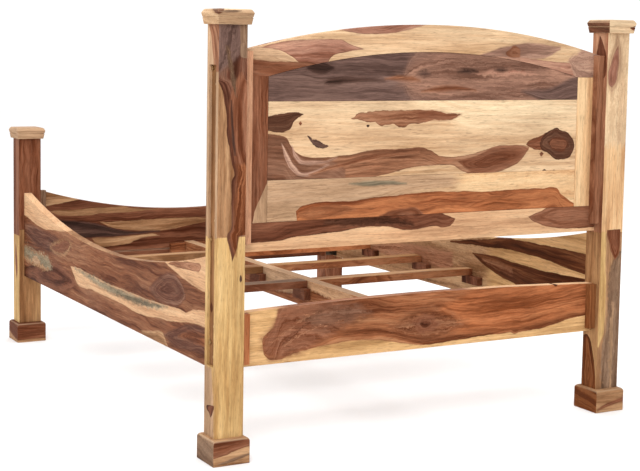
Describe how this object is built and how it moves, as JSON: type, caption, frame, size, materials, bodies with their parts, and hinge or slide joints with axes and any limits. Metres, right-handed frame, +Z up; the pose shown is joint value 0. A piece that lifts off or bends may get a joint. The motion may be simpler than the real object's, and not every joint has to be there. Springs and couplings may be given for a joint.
{
  "type": "panel bed",
  "caption": "Solid wood panel bed with tall capped posts on block feet, an arched framed headboard, a low scooped footboard and side rails, and a centre beam with cross bars.",
  "frame": {"origin": "on the floor, midway between the four posts", "axes": "+Z up, +Y towards the head end, +X towards the left of a sleeper who lies face up"},
  "size_m": [1.733, 2.263, 1.4925],
  "materials": {
    "wood": "satin",
    "steel": "satin"
  },
  "bodies": {
    "root": {"beam_saddle_foot": "wood", "beam_saddle_head": "wood", "beam_support_blocks": "wood", "cap_foot_left": "wood", "cap_foot_right": "wood", "cap_head_left": "wood", "cap_head_right": "wood", "centre_beam": "wood", "cleat_bolts": "steel", "corner_brackets": "steel", "cross_bar_left_1": "wood", "cross_bar_left_2": "wood", "cross_bar_left_3": "wood", "cross_bar_left_4": "wood", "cross_bar_right_1": "wood", "cross_bar_right_2": "wood", "cross_bar_right_3": "wood", "cross_bar_right_4": "wood", "foot_block_foot_left": "wood", "foot_block_foot_right": "wood", "foot_block_head_left": "wood", "foot_block_head_right": "wood", "foot_rail": "wood", "footboard": "wood", "footboard_cleat_left": "wood", "footboard_cleat_right": "wood", "frame_bolts": "steel", "head_rail": "wood", "head_rail_cleat_left": "wood", "head_rail_cleat_right": "wood", "headboard_bottom_rail": "wood", "headboard_cleat_left": "wood", "headboard_cleat_right": "wood", "headboard_panel_board_low": "wood", "headboard_panel_board_middle": "wood", "headboard_panel_board_top": "wood", "headboard_stile_left": "wood", "headboard_stile_right": "wood", "headboard_top_rail": "wood", "post_foot_left": "wood", "post_foot_right": "wood", "post_head_left": "wood", "post_head_right": "wood", "rail_support_blocks": "wood", "side_rail_left": "wood", "side_rail_right": "wood"}
  },
  "joints": []
}
